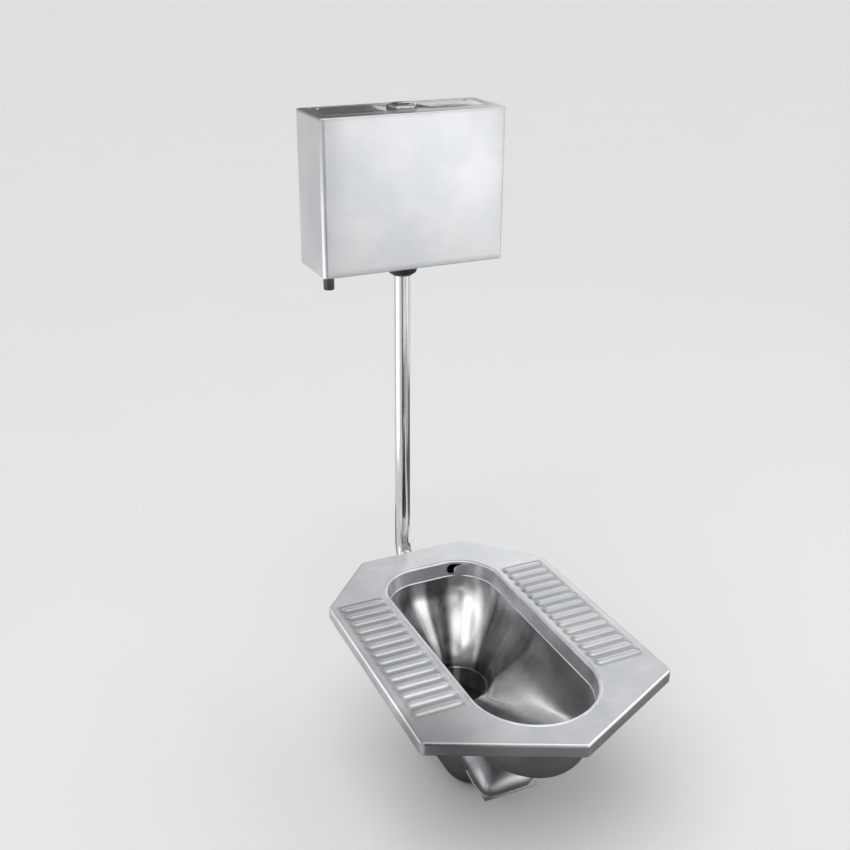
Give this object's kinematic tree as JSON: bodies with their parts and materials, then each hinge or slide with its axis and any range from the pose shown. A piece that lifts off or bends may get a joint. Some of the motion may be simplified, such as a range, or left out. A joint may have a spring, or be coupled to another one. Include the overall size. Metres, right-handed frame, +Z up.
{
  "type": "squat toilet",
  "caption": "Stainless steel squat toilet: a pointed floor pan with ribbed treads, a deep bowl and a water trap, flushed by an upright pipe from a wall-hung tank with a push button.",
  "frame": {"origin": "centre of the lower end of the soil outlet's spigot, under the floor", "axes": "+Z up, +Y towards the wall behind the tank, +X to the right of someone who faces the tank"},
  "size_m": [0.4998, 0.8221, 1.2887],
  "materials": {
    "deck_steel": "satin brushed stainless steel",
    "bowl_steel": "polished stainless steel",
    "trap_steel": "pressed and welded stainless steel",
    "tank_steel": "satin brushed stainless steel",
    "pipe_chrome": "polished",
    "button_chrome": "polished",
    "key_chrome": "polished",
    "screw_steel": "satin",
    "seal_rubber": "matt",
    "nut_plastic": "black moulded",
    "inlet_plastic": "black moulded",
    "valve_plastic": "white moulded",
    "lever_plastic": "red moulded"
  },
  "bodies": {
    "fixture": {"pan_deck": "deck_steel", "rim_neck": "bowl_steel", "bowl": "bowl_steel", "drain_tube": "bowl_steel", "water_cup": "trap_steel", "trap_baffle": "trap_steel", "outlet_dome": "trap_steel", "outlet_plate": "trap_steel", "outlet_spigot": "trap_steel", "anchor_lugs": "deck_steel", "flush_chest": "trap_steel", "inlet_socket": "trap_steel", "inlet_sleeve": "seal_rubber", "flush_pipe": "pipe_chrome", "pipe_seal": "seal_rubber", "flush_nut": "nut_plastic", "nut_washer": "seal_rubber", "tank_body": "tank_steel", "back_plate": "tank_steel", "valve_washer": "seal_rubber", "valve_base": "valve_plastic", "valve_cage": "valve_plastic", "valve_head": "valve_plastic", "rocker_pins": "screw_steel", "inlet_washer": "seal_rubber", "inlet_nut": "nut_plastic", "fill_valve": "inlet_plastic", "fill_head": "valve_plastic", "arm_pin": "screw_steel"},
    "lid": {"tank_lid": "tank_steel", "lid_screws": "screw_steel", "button_ring": "button_chrome", "ring_nut": "nut_plastic", "full_spring": "screw_steel", "half_spring": "screw_steel"},
    "full_key": {"full_key": "key_chrome"},
    "half_key": {"half_key": "key_chrome"},
    "full_rocker": {"full_rocker": "lever_plastic"},
    "half_rocker": {"half_rocker": "lever_plastic"},
    "flush_tube": {"overflow_tube": "valve_plastic", "flush_seal": "seal_rubber"},
    "half_float": {"half_float": "lever_plastic"},
    "fill_float": {"float_cup": "valve_plastic"},
    "float_arm": {"float_arm": "valve_plastic"}
  },
  "joints": [
    {"name": "lid_lift", "type": "slide", "parent": "fixture", "child": "lid", "axis": [0, 0, 1], "range_m": [0, 0.15]},
    {"name": "full_press", "type": "slide", "parent": "lid", "child": "full_key", "axis": [0, 0, -1], "range_m": [0, 0.006], "stiffness_N_per_m": 300, "springref_m": -0.004, "deforming": ["full_spring"]},
    {"name": "half_press", "type": "slide", "parent": "lid", "child": "half_key", "axis": [0, 0, -1], "range_m": [0, 0.006], "stiffness_N_per_m": 300, "springref_m": -0.004, "deforming": ["half_spring"]},
    {"name": "full_rocker_turn", "type": "hinge", "parent": "fixture", "child": "full_rocker", "pos_m": [0.002, 0.477, 1.089], "axis": [0, 1, 0], "range_deg": [0, 34.5]},
    {"name": "half_rocker_turn", "type": "hinge", "parent": "fixture", "child": "half_rocker", "pos_m": [-0.002, 0.449, 1.089], "axis": [0, -1, 0], "range_deg": [0, 34.5]},
    {"name": "tube_lift", "type": "slide", "parent": "fixture", "child": "flush_tube", "axis": [0, 0, 1], "range_m": [0, 0.00901]},
    {"name": "half_lift", "type": "slide", "parent": "fixture", "child": "half_float", "axis": [0, 0, 1], "range_m": [0, 0.00901]},
    {"name": "float_rise", "type": "slide", "parent": "fixture", "child": "fill_float", "axis": [0, 0, 1], "range_m": [0, 0.0178]},
    {"name": "float_arm_turn", "type": "hinge", "parent": "fixture", "child": "float_arm", "pos_m": [-0.168, 0.463, 1.182], "axis": [0, -1, 0], "range_deg": [0, 28.5]}
  ],
  "couplings": [
    {"joint": "full_rocker_turn", "follows": "full_press", "rad_per_m": 100},
    {"joint": "tube_lift", "follows": "full_press", "ratio": 1.5},
    {"joint": "half_rocker_turn", "follows": "half_press", "rad_per_m": 100},
    {"joint": "half_lift", "follows": "half_press", "ratio": 1.5},
    {"joint": "float_arm_turn", "follows": "float_rise", "rad_per_m": 27.778}
  ]
}
